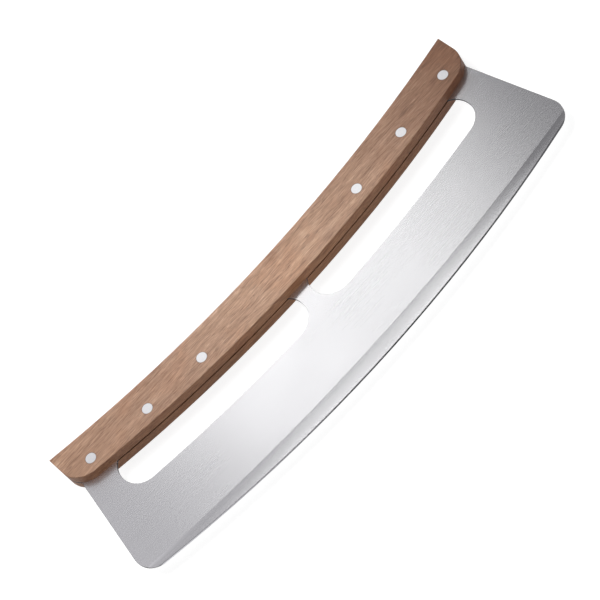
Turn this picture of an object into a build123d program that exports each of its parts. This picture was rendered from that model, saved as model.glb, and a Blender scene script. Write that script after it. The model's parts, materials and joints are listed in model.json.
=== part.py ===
from build123d import *
import math
import os

os.makedirs("parts", exist_ok=True)

# Rocking pizza knife: one thin steel sheet with a curved cutting edge and two finger windows, and a wooden
# handle of two scales along its top, held by six flush rivets.
# Lengths are in millimetres. The knife lies flat on its rear scale. X runs along the knife, Y from the
# cutting edge to the top of the handle, and Z through the thickness, with the front face up.
# Every height below is measured along Y from the lowest point of the cutting edge, which is at mid-length.
# All long curves are arcs whose middle is their lowest point.

# Blade sheet
overall_length = 350.0
edge_radius = 870.0
blade_corner_radius = 14.0
flank_flare = 10.4  # degrees that each end of the blade leans outwards
blade_thickness = 1.2
edge_break = 0.1  # chamfer that takes the sharpness off the windows and the ends

# Hollow-ground bevel and honed edge
grind_height = 10.9
grind_radius = 1350.0
hollow_depth = 0.08  # how far the bevel dips below a straight line across it
hone_width = 0.7
hone_shoulder_thickness = 0.44
edge_thickness = 0.1

# Finger windows
window_base_height = 51.5
window_tuck = 5.4  # how far each window runs up between the scales, beside the neck
window_radius = 957.0
window_end_inset = 29.2  # from each end of the blade to the nearer window
window_corner_radius = 14.1
window_corner_share = 0.49  # most of the window's height that one corner may take
neck_width = 10.2

# Handle scales
handle_end_inset = 8.5  # from each end of the blade to the handle
handle_base_height = 75.5
handle_base_radius = 858.0
handle_width = 27.5
handle_top_radius = 916.0
handle_corner_radius = 16.0
scale_thickness = 6.2
scale_edge_chamfer = 0.3

# Rivets, each a hollow sleeve from the rear and a pin from the front
rivets_per_side = 3
rivet_end_inset = 16.9  # from each end of the handle to the nearest rivet
rivet_pitch = 42.0
rivet_inset = 10.0  # from the handle's lower edge to the row of rivets, at the middle
rivet_row_radius = 950.0
rivet_head_diameter = 6.6
rivet_head_thickness = 1.5
sleeve_diameter = 4.0
sleeve_floor = 0.5
sleeve_end_gap = 0.4
pin_diameter = 2.6
pin_end_gap = 0.8

# Clearances
head_clearance = 0.05
hole_clearance = 0.1
tang_hole_clearance = 0.2
press_slip = 0.01
cut_overrun = 5.0


def rise(radius, x):
    """How far an arc of this radius has climbed at x from its lowest point."""
    return radius - math.sqrt(radius**2 - x**2)


half_length = overall_length / 2
handle_half = half_length - handle_end_inset
handle_top_height = handle_base_height + handle_width
overall_height = handle_top_height + rise(handle_top_radius, handle_half)


def at(height):
    """The Y of a height above the cutting edge: the knife is centred on Y."""
    return height - overall_height / 2


rear_face = 0.0
blade_rear = rear_face + scale_thickness
blade_front = blade_rear + blade_thickness
front_face = blade_front + scale_thickness
blade_middle = (blade_rear + blade_front) / 2


def long_arc(height, radius, x_start, x_end):
    """An arc from x_start to x_end on the curve with this middle height and radius."""
    points = [(x, at(height + rise(radius, x))) for x in (x_start, (x_start + x_end) / 2, x_end)]
    return ThreePointArc(*points)


# Outline shared by both scales and the tang between them
with BuildSketch() as handle_outline:
    with BuildLine():
        handle_base = long_arc(handle_base_height, handle_base_radius, -handle_half, handle_half)
        handle_top = long_arc(handle_top_height, handle_top_radius, -handle_half, handle_half)
        Line(handle_base @ 0, handle_top @ 0)
        Line(handle_base @ 1, handle_top @ 1)
    make_face()
    lower_corners = handle_outline.vertices().group_by(Axis.X)
    fillet([lower_corners[0].sort_by(Axis.Y)[0], lower_corners[-1].sort_by(Axis.Y)[0]], handle_corner_radius)

# Rounded lower corner of the blade: it touches the cutting edge's arc from inside, and its outermost point
# gives the knife its overall length
corner_x = half_length - blade_corner_radius
corner_height = edge_radius - math.sqrt((edge_radius - blade_corner_radius) ** 2 - corner_x**2)
edge_half_angle = math.degrees(math.asin(corner_x / (edge_radius - blade_corner_radius)))

# The flanks run up into the handle as far as its centre line
centre_line_height = (handle_base_height + handle_top_height) / 2
centre_line_radius = (handle_base_radius + handle_top_radius) / 2
shoulder_height = centre_line_height + rise(centre_line_radius, handle_half)

with BuildSketch() as sheet_outline:
    with BuildLine():
        edge = CenterArc((0, at(edge_radius)), edge_radius, -90, edge_half_angle)
        corner = CenterArc(
            (corner_x, at(corner_height)),
            blade_corner_radius,
            edge_half_angle - 90,
            90 - edge_half_angle + flank_flare,
        )
        flank_start = corner @ 1
        flank_rise = at(shoulder_height) - flank_start.Y
        shoulder = (flank_start.X - flank_rise * math.tan(math.radians(flank_flare)), at(shoulder_height))
        Line(flank_start, shoulder)
        mirror(about=Plane.YZ)
        ThreePointArc(shoulder, (0, at(centre_line_height)), (-shoulder[0], shoulder[1]))
    make_face()

window_height = handle_base_height + window_tuck - window_base_height
window_ends = (neck_width / 2, half_length - window_end_inset)

with BuildSketch() as windows:
    with BuildLine():
        window_base = long_arc(window_base_height, window_radius, *window_ends)
        window_roof = long_arc(window_base_height + window_height, window_radius, *window_ends)
        Line(window_base @ 0, window_roof @ 0)
        Line(window_base @ 1, window_roof @ 1)
    make_face()
    fillet(windows.vertices(), min(window_corner_radius, window_corner_share * window_height))
    mirror(about=Plane.YZ)


def below(height, radius, z):
    """The face at level z that covers everything on the edge side of an arc."""
    reach = half_length + cut_overrun
    low = at(0) - cut_overrun
    with BuildSketch(Plane.XY.offset(z)) as region:
        with BuildLine():
            limit = long_arc(height, radius, -reach, reach)
            Polyline(limit @ 0, (-reach, low), (reach, low), limit @ 1)
        make_face()
    return region.sketch


# What the grinding takes off the front: the narrow honed bevel along the edge, and above it the long bevel,
# which is hollow, so it has a line halfway up that lies deeper than a straight bevel would
hone_radius = edge_radius - hone_width
hone_z = blade_middle + hone_shoulder_thickness / 2
hollow_height = (hone_width + grind_height) / 2
hollow_radius = 2 / (1 / hone_radius + 1 / grind_radius)
hollow_z = (hone_z + blade_front) / 2 - hollow_depth

edge_line = below(0, edge_radius, blade_middle + edge_thickness / 2)
hone_line = below(hone_width, hone_radius, hone_z)
hollow_line = below(hollow_height, hollow_radius, hollow_z)
grind_line = below(grind_height, grind_radius, blade_front)
with BuildPart() as grinding:
    loft([edge_line, hone_line, hollow_line, grind_line], ruled=True)

# Rivet places, from left to right
outer_rivet = handle_half - rivet_end_inset
rivet_x = [side * (outer_rivet - i * rivet_pitch) for side in (-1, 1) for i in range(rivets_per_side)]
rivet_row_height = handle_base_height + rivet_inset
rivet_places = [(x, at(rivet_row_height + rise(rivet_row_radius, x))) for x in sorted(rivet_x)]

# Blade with its full tang
with BuildPart() as blade:
    with BuildSketch(Plane.XY.offset(blade_rear)):
        add(handle_outline.sketch_local)
        add(sheet_outline.sketch_local)
        add(windows.sketch_local, mode=Mode.SUBTRACT)
    extrude(amount=blade_thickness)
    wide_faces = blade.faces().filter_by(Axis.Z)
    window_edges = [e for face in wide_faces for wire in face.inner_wires() for e in wire.edges()]
    flank_edges = wide_faces.edges().filter_by(GeomType.LINE).filter_by(
        lambda e: e.center().Y < at(handle_base_height)
    )
    chamfer(window_edges + flank_edges, edge_break)
    add(grinding.part, mode=Mode.SUBTRACT)
    mirror(grinding.part, about=Plane.XY.offset(blade_middle), mode=Mode.SUBTRACT)
    with Locations(*[(x, y, blade_front) for x, y in rivet_places]):
        Hole(sleeve_diameter / 2 + tang_hole_clearance)
blade.part.label = "blade"
export_step(blade.part, "parts/blade.step")


def make_scale(name, inner_z, outer_z):
    """One wooden scale, its outer face chamfered all round and counterbored for the rivets."""
    outward = 1 if outer_z > inner_z else -1
    with BuildPart() as scale:
        with BuildSketch(Plane.XY.offset(min(inner_z, outer_z))):
            add(handle_outline.sketch_local)
        extrude(amount=scale_thickness)
        outer = scale.faces().sort_by(Axis.Z)[-1 if outward > 0 else 0]
        chamfer(outer.edges(), scale_edge_chamfer)
        for x, y in rivet_places:
            with Locations(Plane((x, y, outer_z), x_dir=(1, 0, 0), z_dir=(0, 0, outward))):
                CounterBoreHole(
                    radius=sleeve_diameter / 2 + hole_clearance,
                    counter_bore_radius=rivet_head_diameter / 2 + head_clearance,
                    counter_bore_depth=rivet_head_thickness,
                )
    scale.part.label = name
    export_step(scale.part, f"parts/{name}.step")


make_scale("front_scale", blade_front, front_face)
make_scale("rear_scale", blade_rear, rear_face)


def turn(name, place, profile):
    """A round piece: the profile, in (radius, z) points, turned about an upright axis at place."""
    x, y = place
    with BuildPart() as piece:
        with BuildSketch(Plane((x, y, 0), x_dir=(1, 0, 0), z_dir=(0, -1, 0))):
            with BuildLine():
                Polyline(*profile, close=True)
            make_face()
        revolve(axis=Axis((x, y, 0), (0, 0, 1)))
    piece.part.label = name
    export_step(piece.part, f"parts/{name}.step")


head_radius = rivet_head_diameter / 2
sleeve_radius = sleeve_diameter / 2
pin_radius = pin_diameter / 2
sleeve_end = front_face - rivet_head_thickness - sleeve_end_gap
sleeve_bottom = rear_face + rivet_head_thickness + sleeve_floor
pin_end = sleeve_bottom + pin_end_gap

sleeve_profile = [
    (0, rear_face),
    (head_radius, rear_face),
    (head_radius, rear_face + rivet_head_thickness),
    (sleeve_radius, rear_face + rivet_head_thickness),
    (sleeve_radius, sleeve_end),
    (pin_radius + press_slip, sleeve_end),
    (pin_radius + press_slip, sleeve_bottom),
    (0, sleeve_bottom),
]
pin_profile = [
    (0, front_face),
    (head_radius, front_face),
    (head_radius, front_face - rivet_head_thickness),
    (pin_radius, front_face - rivet_head_thickness),
    (pin_radius, pin_end),
    (0, pin_end),
]

for number, place in enumerate(rivet_places, start=1):
    turn(f"rivet_sleeve_{number}", place, sleeve_profile)
    turn(f"rivet_pin_{number}", place, pin_profile)
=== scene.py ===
import json
import math

import bpy
from mathutils import Matrix, Vector


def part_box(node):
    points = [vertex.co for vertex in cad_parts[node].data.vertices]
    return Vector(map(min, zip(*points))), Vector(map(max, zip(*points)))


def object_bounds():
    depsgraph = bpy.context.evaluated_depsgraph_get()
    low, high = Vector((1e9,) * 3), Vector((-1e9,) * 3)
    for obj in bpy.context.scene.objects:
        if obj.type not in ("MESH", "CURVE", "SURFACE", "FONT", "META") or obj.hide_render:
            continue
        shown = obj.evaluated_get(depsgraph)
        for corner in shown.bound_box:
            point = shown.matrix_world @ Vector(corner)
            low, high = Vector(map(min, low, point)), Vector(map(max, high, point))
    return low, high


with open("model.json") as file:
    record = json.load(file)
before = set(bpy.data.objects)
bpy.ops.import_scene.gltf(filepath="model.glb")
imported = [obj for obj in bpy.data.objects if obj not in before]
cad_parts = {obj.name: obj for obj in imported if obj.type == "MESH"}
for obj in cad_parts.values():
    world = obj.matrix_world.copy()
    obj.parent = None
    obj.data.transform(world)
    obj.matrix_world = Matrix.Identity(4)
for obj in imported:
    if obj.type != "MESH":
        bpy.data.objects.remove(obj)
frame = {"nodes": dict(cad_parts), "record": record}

# The rocking pizza knife, laid flat with its front face up: brushed steel, oiled wood and aluminium rivets in a
# pale studio. Lengths are in metres. X runs along the knife, Y from the cutting edge to the handle, Z up.

cad_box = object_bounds()

# Camera: how far it is turned about Y, X and its own axis, and what it looks at
VIEW_YAW = math.radians(7.877)
VIEW_TILT = math.radians(-36.096)
VIEW_ROLL = math.radians(52.205)
VIEW_DISTANCE = 1.4
VIEW_AIM = Vector((-0.00478, 0.00722, 0.01024))
LENS = 148.67
SENSOR = 36.0

# Lamps, whose brightness is given as radiance. The softbox is several panels one over the other, so that it
# fades towards its sides. It stands where the flat steel mirrors it to the camera.
SOFTBOX_DISTANCE = 1.3
SOFTBOX_STEP = 0.005  # from each panel to the wider one behind it
SOFTBOX_PANELS = (  # width, height, shift to the left and upwards, radiance
    (0.37, 0.20, -0.041, -0.030, 1.45),
    (0.43, 0.20, 0.053, -0.030, 1.25),
    (0.50, 0.20, -0.045, -0.030, 1.50),
)
KEY_DIRECTION = Vector((-0.20, 0.60, 0.80))
KEY_DISTANCE = 1.3
KEY_SIZE = (0.8, 0.8)
KEY_RADIANCE = 7.4
RIGHT_FILL_DIRECTION = Vector((0.55, -0.75, 0.25))
RIGHT_FILL_RADIANCE = 1.9
LEFT_FILL_DIRECTION = Vector((-0.4, -0.85, 0.25))
LEFT_FILL_RADIANCE = 0.9
FILL_DISTANCE = 1.2
FILL_SIZE = (0.6, 0.6)

# World: an even light, and the dome that the metal mirrors. The dome is white at the horizon. Higher up it goes
# from grey on the left to dark on the right, and round the zenith from bright to nearly black.
AMBIENT = 0.15
DOME_LEFT = 0.70
DOME_RIGHT = 0.32
DOME_SIDES = (-0.12, 0.20)  # where the dome starts and ends darkening, as the X of the direction
ZENITH_LEFT = 1.6
ZENITH_RIGHT = 0.02
ZENITH_SIDES = (-0.12, 0.13)  # the same for the zenith
ZENITH_RISE = (0.93, 0.985)  # where the zenith starts and is reached, as the sine of the elevation
DOME_FALL = 0.38  # how high the white of the horizon reaches, as the sine of the elevation
DOME_TINT = (0.97, 0.955, 1.0)

# The ground bevel, as built: the heights above the cutting edge at which its lower and upper lines start, and
# their radii
HONE_HEIGHT = 0.0007
HONE_RADIUS = 0.8693
GRIND_HEIGHT = 0.0109
GRIND_RADIUS = 1.350

# Steel. Each blend is the width over which one finish passes into the next.
HOLLOW_DEPTH = 0.00002  # how far each of the bevel's two straight strips dips in its middle
BRUSH_DEPTH = 0.00000025
BRUSH_ANISOTROPY = 0.92
BRUSH_TURN = 0.25  # a quarter turn, so that highlights spread across the brushing
GRIND_BLEND = 0.0004
HONE_BLEND = 0.0001
SHOULDER_FADE = (0.0002, 0.0003)  # where the painted shade line at the top of the hone starts and ends fading
SHOULDER_STRENGTH = 0.6
CUT_EDGE = (0.85, 0.92)  # how level a face is, from where it counts as cut to where it doesn't
STEEL_SHADES = [(0.3, (0.71, 0.71, 0.715)), (0.7, (0.75, 0.75, 0.755))]
BEVEL_SHADE = (0.66, 0.66, 0.665)
# The hone and the line at its top are darkened as painted shade, for the dark surroundings the edge mirrors;
# the hone's lower roughness is its own
HONE_PAINTED_SHADE = (0.50, 0.50, 0.505)
SHOULDER_PAINTED_SHADE = (0.10, 0.10, 0.105)
# The cut edges' colour is painted shade, near black for the dark surroundings they mirror; their extra
# roughness is their own
CUT_PAINTED_SHADE = (0.06, 0.06, 0.065)
STEEL_ROUGHNESS = (0.255, 0.275)
BRUSH_ROUGHNESS = (-0.01, 0.01)
BEVEL_SMOOTHER = 0.03
HONE_SMOOTHER = 0.135
CUT_ROUGHER = 0.3

# Wood
GRAIN_SHADES = [
    (0.38, (0.212, 0.102, 0.052)),
    (0.46, (0.342, 0.181, 0.103)),
    (0.54, (0.425, 0.237, 0.142)),
    (0.62, (0.545, 0.335, 0.215)),
]
GRAIN_WOBBLE = 0.003
SHEEN_REACH = 0.10  # how far the painted sheen in the middle reaches to either side
PAINTED_SHEEN_TINT = (1.24, 1.29, 1.31)
WARM_TINT = (1.0, 0.80, 0.62)
WARM_STRENGTH = 0.35
BROWNER_START, BROWNER_END = 0.07, 0.18  # where the wood gets browner towards the right end
BROWNER_TINT = (0.53, 0.43, 0.36)
PORE_SHADE = (0.15, 0.072, 0.038)
PORE_STRENGTH = 0.60
HOLE_SHADE_WIDTH = 0.0006  # painted shade ring in the wood round each rivet, for the shadow of the gap
HOLE_PAINTED_SHADE = (0.10, 0.055, 0.035)
HOLE_SHADE_STRENGTH = 0.55
SIDE_LEVEL = (0.4, 0.8)  # how level a face is, from where it counts as a side to where it doesn't
# The upright sides are darkened and warmed as painted shade; their extra roughness is their own
SIDE_PAINTED_SHADE = (0.81, 0.66, 0.53)
SIDE_ROUGHER = 0.3
WOOD_ROUGHNESS = (0.34, 0.28)
GRAIN_DEPTH = 0.00005

# Rivets
RIVET_SHADES = [(0.3, (0.77, 0.77, 0.78)), (0.7, (0.85, 0.85, 0.85))]
# The rivet's dark rim is painted shade, for the shadow in the gap round its head
RIVET_SHADE_WIDTH = 0.00015
RIVET_PAINTED_SHADE = (0.30, 0.28, 0.27)
RIVET_SHADE_STRENGTH = 0.5
RIVET_ROUGHNESS = (0.37, 0.43)
SCRATCH_DEPTH = 0.000003

# Floor
FLOOR_SIDES = 96
FLOOR_DROP = 0.00002
FLOOR_RADIUS = 6.0
FLOOR_WHITE = 0.35
FLOOR_GLOW = 0.85


def node(tree, kind, inputs=None, **settings):
    """A new shader node with its settings made and its inputs set or linked."""
    made = tree.nodes.new("ShaderNode" + kind)
    for name, value in settings.items():
        setattr(made, name, value)
    for name, value in (inputs or {}).items():
        if isinstance(value, bpy.types.NodeSocket):
            tree.links.new(value, made.inputs[name])
        else:
            made.inputs[name].default_value = value
    return made


def maths(tree, operation, *values):
    """The result of a Math node."""
    return node(tree, "Math", dict(enumerate(values)), operation=operation).outputs[0]


def stretched(tree, position, along, across):
    """The position scaled so that a texture runs in streaks along X."""
    return node(tree, "Mapping", {"Vector": position, "Scale": (along, across, across)}).outputs[0]


def noise(tree, position, scale=1.0, detail=4.0, roughness=0.55, distortion=0.0):
    """The grey value of a noise texture."""
    settings = {"Vector": position, "Scale": scale, "Detail": detail, "Roughness": roughness}
    return node(tree, "TexNoise", {**settings, "Distortion": distortion}).outputs["Fac"]


def remap(tree, value, low, high, to_low=0.0, to_high=1.0, smooth=False):
    """A value taken from one range to another, held at the ends."""
    ends = {"Value": value, "From Min": low, "From Max": high, "To Min": to_low, "To Max": to_high}
    kind = "SMOOTHSTEP" if smooth else "LINEAR"
    return node(tree, "MapRange", ends, interpolation_type=kind).outputs["Result"]


def ramp(tree, value, stops):
    """A colour ramp through the given (place, colour) stops."""
    made = node(tree, "ValToRGB", {"Fac": value})
    elements = made.color_ramp.elements
    while len(elements) < len(stops):
        elements.new(1.0)
    for element, (place, colour) in zip(elements, stops):
        element.position = place
        element.color = (*colour, 1.0)
    return made.outputs["Color"]


def blend(tree, factor, first, second, mode="MIX"):
    """Two colours mixed: either may be a socket or a colour."""
    made = node(tree, "Mix", data_type="RGBA", blend_type=mode)
    for socket, value in zip((made.inputs[0], made.inputs[6], made.inputs[7]), (factor, first, second)):
        if isinstance(value, bpy.types.NodeSocket):
            tree.links.new(value, socket)
        elif isinstance(value, tuple):
            socket.default_value = (*value, 1.0)
        else:
            socket.default_value = value
    return made.outputs[2]


def bump(tree, height, distance):
    """A normal bumped by the height times the distance."""
    return node(tree, "Bump", {"Height": height, "Distance": distance}).outputs["Normal"]


def flattened(tree, position):
    """The position with its Z taken out."""
    return node(tree, "Mapping", {"Vector": position, "Scale": (1, 1, 0)}).outputs[0]


def levelness(tree):
    """How level a face is: 1 where it looks straight up or down, 0 where it stands upright."""
    normal = node(tree, "TexCoord").outputs["Normal"]
    return maths(tree, "ABSOLUTE", node(tree, "SeparateXYZ", {"Vector": normal}).outputs["Z"])


def new_material(name, **constants):
    """A material with one Principled shader; constants go straight to its sockets."""
    material = bpy.data.materials.new(name)
    material.use_nodes = True
    tree = material.node_tree
    tree.nodes.clear()
    shader = node(tree, "BsdfPrincipled")
    for socket, value in constants.items():
        shader.inputs[socket.replace("_", " ")].default_value = value
    output = node(tree, "OutputMaterial", {"Surface": shader.outputs[0]})
    output.is_active_output = True
    position = node(tree, "TexCoord").outputs["Object"]
    return material, tree, shader, position


def feed(tree, shader, **sockets):
    """Links textures to the shader's sockets."""
    for socket, value in sockets.items():
        tree.links.new(value, shader.inputs[socket.replace("_", " ")])


def centre(name):
    """The middle of a piece's box."""
    low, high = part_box(name)
    return (low + high) / 2


rivets = [name for name in frame["nodes"] if name.startswith("rivet_pin")]
rivet_radius = (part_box(rivets[0])[1].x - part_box(rivets[0])[0].x) / 2


def distance_to_rivet(tree, position):
    """How far a point is from the axis of the nearest rivet."""
    flat = flattened(tree, position)
    nearest = None
    for name in rivets:
        axis = centre(name)
        inputs = {0: flat, 1: (axis.x, axis.y, 0)}
        away = node(tree, "VectorMath", inputs, operation="DISTANCE").outputs["Value"]
        nearest = away if nearest is None else maths(tree, "MINIMUM", nearest, away)
    return nearest


def distance_to_arc_centre(tree, flat, height, radius):
    """How far a point is from the centre of an arc that starts at this height above the cutting edge."""
    inputs = {0: flat, 1: (0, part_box("blade")[0].y + height + radius, 0)}
    return node(tree, "VectorMath", inputs, operation="DISTANCE").outputs["Value"]


def make_steel():
    """Stainless steel, finely brushed along the blade and across the ground bevel, with rougher cut edges.
    Painted shade darkens the cut edges, the hone and a line at the hone's top.
    """
    material, tree, shader, position = new_material(
        "blade_steel", Metallic=1.0, Anisotropic=BRUSH_ANISOTROPY, Anisotropic_Rotation=BRUSH_TURN
    )
    flat = flattened(tree, position)
    above_hone = maths(
        tree, "SUBTRACT", HONE_RADIUS, distance_to_arc_centre(tree, flat, HONE_HEIGHT, HONE_RADIUS)
    )
    below_grind = maths(
        tree, "SUBTRACT", distance_to_arc_centre(tree, flat, GRIND_HEIGHT, GRIND_RADIUS), GRIND_RADIUS
    )
    ground = remap(tree, below_grind, 0.0, GRIND_BLEND)
    honed = remap(tree, above_hone, -HONE_BLEND, 0.0, 1.0, 0.0)
    painted_shoulder_shade = remap(tree, maths(tree, "ABSOLUTE", above_hone), *SHOULDER_FADE, SHOULDER_STRENGTH, 0.0)
    cut = remap(tree, levelness(tree), *CUT_EDGE, 1.0, 0.0)

    along_lines = noise(tree, stretched(tree, position, 14, 2600), detail=3, roughness=0.6)
    cross_lines = noise(tree, stretched(tree, position, 2400, 30), detail=3, roughness=0.6)
    lines = blend(tree, ground, along_lines, cross_lines)
    cloud = noise(tree, stretched(tree, position, 18, 30), detail=3)

    # The solid's bevel is two straight strips. This dip makes each of them hollow.
    climbed = maths(tree, "DIVIDE", above_hone, maths(tree, "ADD", above_hone, below_grind))
    strip = maths(tree, "FRACT", maths(tree, "MULTIPLY", remap(tree, climbed, 0.0, 1.0), 2.0))
    dip = maths(tree, "MULTIPLY", strip, maths(tree, "SUBTRACT", 1.0, strip))
    hollow = maths(tree, "MULTIPLY", dip, -4 * HOLLOW_DEPTH)
    brushing = maths(tree, "MULTIPLY", lines, remap(tree, ground, 0.0, 1.0, BRUSH_DEPTH, BRUSH_DEPTH / 2))
    relief = maths(tree, "ADD", brushing, hollow)

    colour = ramp(tree, lines, STEEL_SHADES)
    colour = blend(tree, ground, colour, BEVEL_SHADE)
    # Painted shade: the hone darkened and a near-black line at its top, for the dark surroundings the edge
    # mirrors
    colour = blend(tree, honed, colour, HONE_PAINTED_SHADE)
    colour = blend(tree, painted_shoulder_shade, colour, SHOULDER_PAINTED_SHADE)
    # Painted shade on the cut edges, which are also made rougher below
    colour = blend(tree, cut, colour, CUT_PAINTED_SHADE)

    line_roughness = remap(tree, lines, 0.25, 0.75, *BRUSH_ROUGHNESS)
    roughness = maths(tree, "ADD", line_roughness, remap(tree, cloud, 0.3, 0.7, *STEEL_ROUGHNESS))
    roughness = maths(tree, "SUBTRACT", roughness, maths(tree, "MULTIPLY", ground, BEVEL_SMOOTHER))
    roughness = maths(tree, "SUBTRACT", roughness, maths(tree, "MULTIPLY", honed, HONE_SMOOTHER))
    roughness = maths(tree, "ADD", roughness, maths(tree, "MULTIPLY", cut, CUT_ROUGHER))

    lengthwise = node(tree, "Tangent", direction_type="RADIAL", axis="Y").outputs[0]
    normal = bump(tree, relief, 1.0)
    feed(tree, shader, Base_Color=colour, Roughness=roughness, Normal=normal, Tangent=lengthwise)
    return material


def make_wood():
    """Oiled straight-grained wood, browner towards the right end, with a painted sheen in the middle and
    painted shade on its upright sides and round the rivets.
    """
    material, tree, shader, position = new_material("handle_wood", IOR=1.5, Specular_IOR_Level=0.65)
    wobble = noise(tree, stretched(tree, position, 16, 60), detail=2)
    shift = remap(tree, wobble, 0.0, 1.0, -GRAIN_WOBBLE, GRAIN_WOBBLE)
    offset = node(tree, "CombineXYZ", {"Y": shift, "Z": shift}).outputs[0]
    waved = node(tree, "VectorMath", {0: position, 1: offset}, operation="ADD").outputs[0]
    figure = noise(tree, stretched(tree, waved, 8, 170), detail=3, roughness=0.5, distortion=0.3)
    streak = noise(tree, stretched(tree, waved, 50, 800), detail=4, roughness=0.6)
    fibre = noise(tree, stretched(tree, waved, 130, 2200), detail=3, roughness=0.6)
    pore = noise(tree, stretched(tree, waved, 170, 2400), detail=1, roughness=0.4)
    glow = noise(tree, position, scale=38, detail=2)

    grain = blend(tree, 0.48, blend(tree, 0.62, figure, streak), fibre)
    colour = ramp(tree, grain, GRAIN_SHADES)
    along = node(tree, "SeparateXYZ", {"Vector": waved}).outputs["X"]
    # Painted sheen: the middle of the handle is lightened, for the softbox mirrored in the oiled wood
    painted_sheen = remap(tree, maths(tree, "ABSOLUTE", along), 0.0, SHEEN_REACH, 1.0, 0.0, smooth=True)
    colour = blend(tree, painted_sheen, colour, PAINTED_SHEEN_TINT, mode="MULTIPLY")
    warm = remap(tree, glow, 0.50, 0.68, 0.0, WARM_STRENGTH)
    colour = blend(tree, warm, colour, WARM_TINT, mode="MULTIPLY")
    browner = remap(tree, along, BROWNER_START, BROWNER_END, smooth=True)
    colour = blend(tree, browner, colour, BROWNER_TINT, mode="MULTIPLY")
    specks = remap(tree, pore, 0.60, 0.70, 0.0, PORE_STRENGTH)
    colour = blend(tree, specks, colour, PORE_SHADE)
    # Painted shade: a dark ring in the wood round each rivet, for the shadow in the gap
    away = distance_to_rivet(tree, position)
    rim = remap(tree, away, rivet_radius, rivet_radius + HOLE_SHADE_WIDTH, HOLE_SHADE_STRENGTH, 0.0)
    colour = blend(tree, rim, colour, HOLE_PAINTED_SHADE)
    # Painted shade on the upright sides of the scales, which are also made rougher
    side = remap(tree, levelness(tree), *SIDE_LEVEL, 1.0, 0.0)
    colour = blend(tree, side, colour, SIDE_PAINTED_SHADE, mode="MULTIPLY")

    roughness = remap(tree, grain, 0.35, 0.65, *WOOD_ROUGHNESS)
    roughness = maths(tree, "ADD", roughness, maths(tree, "MULTIPLY", side, SIDE_ROUGHER))
    relief = blend(tree, specks, blend(tree, 0.5, streak, fibre), (0.0, 0.0, 0.0))
    feed(tree, shader, Base_Color=colour, Roughness=roughness, Normal=bump(tree, relief, GRAIN_DEPTH))
    return material


def make_aluminium():
    """Rivet metal sanded flush with the wood along the grain, with painted shade at its rim."""
    material, tree, shader, position = new_material("rivet_metal", Metallic=1.0)
    scratches = noise(tree, stretched(tree, position, 300, 5200), detail=3, roughness=0.6)
    mottle = noise(tree, position, scale=900, detail=2)
    shade = blend(tree, 0.5, scratches, mottle)
    colour = ramp(tree, shade, RIVET_SHADES)
    # Painted shade at the rivet's rim, for the shadow in the gap round it
    away = distance_to_rivet(tree, position)
    rim = remap(tree, away, rivet_radius - RIVET_SHADE_WIDTH, rivet_radius, 0.0, RIVET_SHADE_STRENGTH)
    colour = blend(tree, rim, colour, RIVET_PAINTED_SHADE)
    roughness = remap(tree, shade, 0.3, 0.7, *RIVET_ROUGHNESS)
    feed(tree, shader, Base_Color=colour, Roughness=roughness, Normal=bump(tree, scratches, SCRATCH_DEPTH))
    return material


looks = {"blade_steel": make_steel(), "handle_wood": make_wood(), "rivet_metal": make_aluminium()}
for part in frame["record"]["subparts"]:
    for slot in frame["nodes"][part["node"]].material_slots:
        slot.material = looks[part["material_slot"]]


def seen_directly(tree):
    """1 for camera, glossy and transmission rays, 0 for the others."""
    path = node(tree, "LightPath").outputs
    total = maths(tree, "ADD", path["Is Camera Ray"], path["Is Glossy Ray"])
    total = maths(tree, "ADD", total, path["Is Transmission Ray"])
    return maths(tree, "MINIMUM", total, 1.0)


def make_floor():
    """A pale round floor that is white where no shadow falls."""
    mesh = bpy.data.meshes.new("floor")
    level = cad_box[0].z - FLOOR_DROP
    turn = [2 * math.pi * i / FLOOR_SIDES for i in range(FLOOR_SIDES)]
    rim = [(FLOOR_RADIUS * math.cos(a), FLOOR_RADIUS * math.sin(a), level) for a in turn]
    mesh.from_pydata(rim, [], [tuple(range(FLOOR_SIDES))])
    floor = bpy.data.objects.new("floor", mesh)
    bpy.context.scene.collection.objects.link(floor)
    material, tree, shader, _ = new_material("floor", Roughness=0.9)
    shader.inputs["Base Color"].default_value = (FLOOR_WHITE, FLOOR_WHITE, FLOOR_WHITE, 1.0)
    shader.inputs["Emission Color"].default_value = (1.0, 1.0, 1.0, 1.0)
    glow = maths(tree, "MULTIPLY", seen_directly(tree), FLOOR_GLOW)
    tree.links.new(glow, shader.inputs["Emission Strength"])
    mesh.materials.append(material)


def make_world():
    """The even light, and the dome in its place for the rays that see the world directly."""
    world = bpy.data.worlds.new("studio")
    bpy.context.scene.world = world
    world.use_nodes = True
    tree = world.node_tree
    tree.nodes.clear()
    ambient = node(tree, "Background", {"Color": (1.0, 1.0, 1.0, 1.0), "Strength": AMBIENT})
    direction = node(tree, "TexCoord").outputs["Generated"]
    parts = node(tree, "SeparateXYZ", {"Vector": direction}).outputs
    overhead = remap(tree, parts["X"], *DOME_SIDES, DOME_LEFT, DOME_RIGHT, smooth=True)
    zenith = remap(tree, parts["X"], *ZENITH_SIDES, ZENITH_LEFT, ZENITH_RIGHT, smooth=True)
    rise = remap(tree, parts["Z"], *ZENITH_RISE, smooth=True)
    brighter = maths(tree, "MULTIPLY", rise, maths(tree, "SUBTRACT", zenith, overhead))
    overhead = maths(tree, "ADD", overhead, brighter)
    height = remap(tree, parts["Z"], 0.0, DOME_FALL, smooth=True)
    level = maths(tree, "ADD", 1.0, maths(tree, "MULTIPLY", height, maths(tree, "SUBTRACT", overhead, 1.0)))
    tint = blend(tree, height, (1.0, 1.0, 1.0), DOME_TINT)
    dome = node(tree, "Background", {"Color": tint, "Strength": level})
    inputs = {0: seen_directly(tree), 1: ambient.outputs[0], 2: dome.outputs[0]}
    mixed = node(tree, "MixShader", inputs)
    node(tree, "OutputWorld", {"Surface": mixed.outputs[0]})


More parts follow.
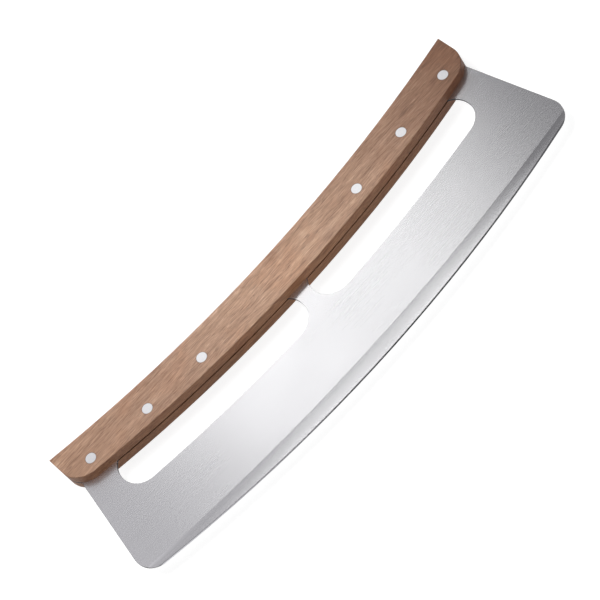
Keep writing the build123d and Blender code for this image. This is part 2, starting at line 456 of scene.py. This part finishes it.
def make_lamp(name, direction, distance, size, radiance, shift=(0.0, 0.0)):
    """A rectangular area lamp that faces the knife, shifted in its own plane."""
    light = bpy.data.lights.new(name, "AREA")
    light.shape = "RECTANGLE"
    light.size, light.size_y = size
    light.energy = radiance * math.pi * size[0] * size[1]
    lamp = bpy.data.objects.new(name, light)
    bpy.context.scene.collection.objects.link(lamp)
    facing = direction.normalized()
    right = Vector((0, 0, 1)).cross(facing).normalized()
    up = facing.cross(right)
    turned = Matrix((right, up, facing)).transposed()
    place = facing * distance + right * shift[0] + up * shift[1]
    lamp.matrix_world = Matrix.Translation(place) @ turned.to_4x4()
    return lamp


def make_camera():
    """The camera, at the fitted viewpoint. Returns the direction from the knife to it."""
    turned = Matrix.Rotation(-VIEW_YAW, 3, "Y") @ Matrix.Rotation(-VIEW_TILT, 3, "X")
    turned = turned @ Matrix.Rotation(-VIEW_ROLL, 3, "Z")
    back = turned @ Vector((0, 0, 1))
    data = bpy.data.cameras.new("camera")
    data.lens = LENS
    data.sensor_width = SENSOR
    data.clip_end = 100
    camera = bpy.data.objects.new("camera", data)
    bpy.context.scene.collection.objects.link(camera)
    camera.matrix_world = Matrix.Translation(VIEW_AIM + back * VIEW_DISTANCE) @ turned.to_4x4()
    bpy.context.scene.camera = camera
    return back


to_camera = make_camera()
make_floor()
make_world()
mirrored = Vector((-to_camera.x, -to_camera.y, to_camera.z))
for number, (width, height, left, up, radiance) in enumerate(SOFTBOX_PANELS, start=1):
    distance = SOFTBOX_DISTANCE + number * SOFTBOX_STEP
    make_lamp(f"softbox_{number}", mirrored, distance, (width, height), radiance, (left, up))
for name, direction, distance, size, radiance in (
    ("key", KEY_DIRECTION, KEY_DISTANCE, KEY_SIZE, KEY_RADIANCE),
    ("right_fill", RIGHT_FILL_DIRECTION, FILL_DISTANCE, FILL_SIZE, RIGHT_FILL_RADIANCE),
    ("left_fill", LEFT_FILL_DIRECTION, FILL_DISTANCE, FILL_SIZE, LEFT_FILL_RADIANCE),
):
    make_lamp(name, direction, distance, size, radiance).visible_glossy = False
bpy.context.scene.view_settings.view_transform = "Standard"
